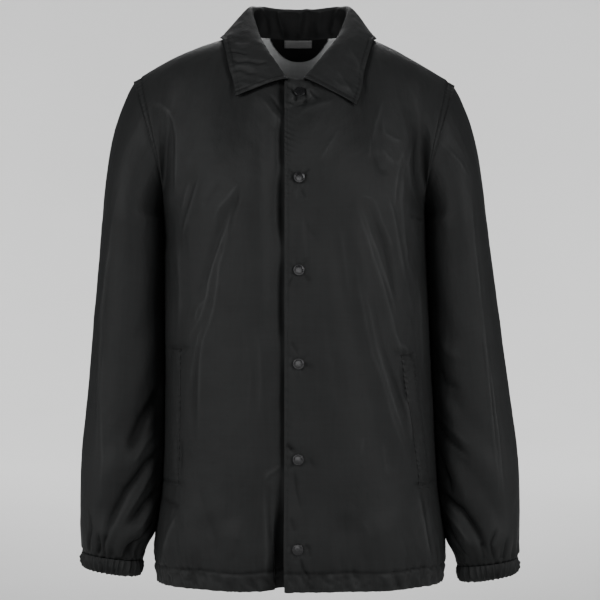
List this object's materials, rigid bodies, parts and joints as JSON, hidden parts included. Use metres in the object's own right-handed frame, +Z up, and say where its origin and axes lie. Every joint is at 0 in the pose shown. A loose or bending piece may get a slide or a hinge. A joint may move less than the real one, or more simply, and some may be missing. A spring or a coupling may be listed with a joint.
{
  "type": "windbreaker jacket",
  "caption": "Hollow coach-cut windbreaker in its worn form, snap front, pointed fold-over collar, welt pockets, elastic cuffs.",
  "frame": {"origin": "middle of the neck opening, level with the shoulder seams at the collar, where the wearer's shoulders carry the jacket", "axes": "+Z up along the wearer's spine, -Y towards the front, +X towards the wearer's left"},
  "size_m": [0.6019, 0.2746, 0.7955],
  "materials": {
    "shell": "black woven nylon with a soft satin sheen outside and a pale coated reverse",
    "facing": "black woven facing, bare",
    "label": "grey woven label, bare",
    "snap": "gunmetal-grey domed caps, satin"
  },
  "bodies": {
    "root": {"front_left": "shell", "front_right": "shell", "back": "shell", "sleeve_left": "shell", "sleeve_right": "shell", "cuff_left": "shell", "cuff_right": "shell", "collar": "shell", "pocket_welt_left": "shell", "pocket_welt_right": "shell", "neck_facing": "facing", "neck_label": "label", "snap_1": "snap", "snap_2": "snap", "snap_3": "snap", "snap_4": "snap", "snap_5": "snap", "snap_6": "snap"}
  },
  "joints": []
}
